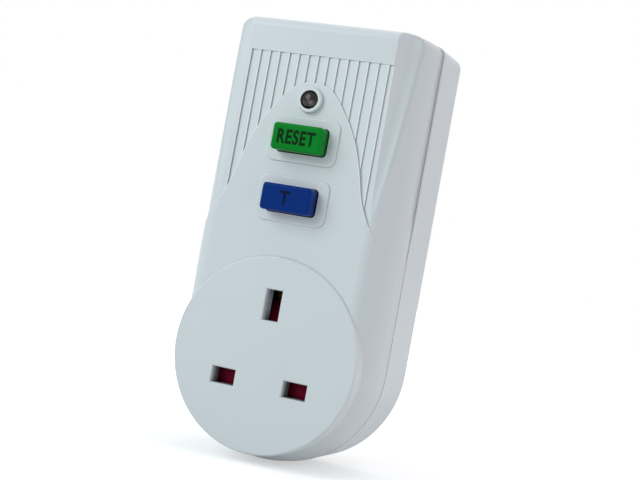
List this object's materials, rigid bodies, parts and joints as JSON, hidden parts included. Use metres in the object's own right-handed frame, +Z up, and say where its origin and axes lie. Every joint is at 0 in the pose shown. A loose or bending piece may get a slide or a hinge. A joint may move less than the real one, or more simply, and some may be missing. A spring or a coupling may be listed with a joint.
{
  "type": "rcd plug adapter",
  "caption": "Plug-through residual current adapter: flat-pin plug behind, matching socket in front, reset and test buttons, indicator lens.",
  "frame": {"origin": "on the wall face, midway between the live and neutral pins", "axes": "+Y from the front into the wall, along the pins; +Z up, towards the earth pin and the buttons; +X to the right seen from the front"},
  "size_m": [0.061, 0.0692, 0.126],
  "materials": {
    "white_moulding": "satin moulded, spark-eroded texture",
    "green_button": "satin moulded",
    "blue_button": "satin moulded",
    "smoked_lens": "polished, clear dark tint",
    "shutter_maroon": "satin moulded",
    "black_moulding": "moulded",
    "natural_moulding": "moulded",
    "pin_brass": "drawn, lightly brushed",
    "contact_brass": "pressed strip",
    "enamelled_copper": "enamelled wire",
    "zinc_steel": "zinc plated",
    "spring_steel": "drawn wire",
    "board_laminate": "laminate with solder resist",
    "lamp_glass": "clear glass",
    "varistor_coat": "dipped coating",
    "resistor_coat": "dipped coating"
  },
  "bodies": {
    "housing": {"front_housing": "white_moulding", "rear_housing": "white_moulding", "housing_screws": "zinc_steel", "board_screws": "zinc_steel", "live_pin": "pin_brass", "neutral_pin": "pin_brass", "earth_pin": "pin_brass", "live_pin_sleeve": "black_moulding", "neutral_pin_sleeve": "black_moulding", "socket_insert": "white_moulding", "shutter_spring": "spring_steel", "socket_base": "natural_moulding", "live_contact": "contact_brass", "neutral_contact": "contact_brass", "earth_contact": "contact_brass", "earth_strap": "contact_brass", "live_supply_strap": "contact_brass", "neutral_supply_strap": "contact_brass", "live_load_strap": "contact_brass", "neutral_load_strap": "contact_brass", "circuit_board": "board_laminate", "transformer_core": "black_moulding", "transformer_winding": "enamelled_copper", "reset_spring": "spring_steel", "test_spring": "spring_steel", "button_chassis": "black_moulding", "carrier_spring": "spring_steel", "live_fixed_contacts": "contact_brass", "neutral_fixed_contacts": "contact_brass", "plunger_spring": "spring_steel", "solenoid_frame": "zinc_steel", "solenoid_bobbin": "natural_moulding", "solenoid_winding": "enamelled_copper", "indicator_lens": "smoked_lens", "indicator_lamp": "lamp_glass", "test_contact_strip": "contact_brass", "test_contact_post": "contact_brass", "control_chip": "black_moulding", "thyristor": "black_moulding", "surge_varistor": "varistor_coat", "supply_capacitor": "resistor_coat", "rectifier_diodes": "black_moulding", "test_resistor": "resistor_coat"},
    "reset_button": {"reset_button": "green_button"},
    "test_button": {"test_button": "blue_button"},
    "shutter": {"shutter": "shutter_maroon"},
    "contact_carrier": {"contact_carrier": "natural_moulding", "live_moving_contact": "contact_brass", "neutral_moving_contact": "contact_brass"},
    "trip_latch": {"latch_plate": "zinc_steel", "trip_plunger": "zinc_steel"}
  },
  "joints": [
    {"name": "reset_press", "type": "slide", "parent": "housing", "child": "reset_button", "axis": [0, 1, 0], "range_m": [0, 0.0025], "stiffness_N_per_m": 1600, "springref_m": -0.001, "deforming": ["reset_spring"]},
    {"name": "test_press", "type": "slide", "parent": "housing", "child": "test_button", "axis": [0, 1, 0], "range_m": [0, 0.002], "stiffness_N_per_m": 900, "springref_m": -0.001, "deforming": ["test_spring", "test_contact_strip"]},
    {"name": "shutter_open", "type": "slide", "parent": "housing", "child": "shutter", "axis": [0, 0, -1], "range_m": [0, 0.0059], "stiffness_N_per_m": 120, "springref_m": -0.003, "deforming": ["shutter_spring"]},
    {"name": "contact_close", "type": "slide", "parent": "housing", "child": "contact_carrier", "axis": [0, 1, 0], "range_m": [0, 0.0025], "stiffness_N_per_m": 300, "springref_m": -0.001, "deforming": ["carrier_spring"]},
    {"name": "trip_pull", "type": "slide", "parent": "housing", "child": "trip_latch", "axis": [0, 0, 1], "range_m": [0, 0.0013], "stiffness_N_per_m": 200, "springref_m": -0.001, "deforming": ["plunger_spring"]}
  ],
  "couplings": [
    {"joint": "contact_close", "follows": "reset_press", "ratio": 1}
  ]
}
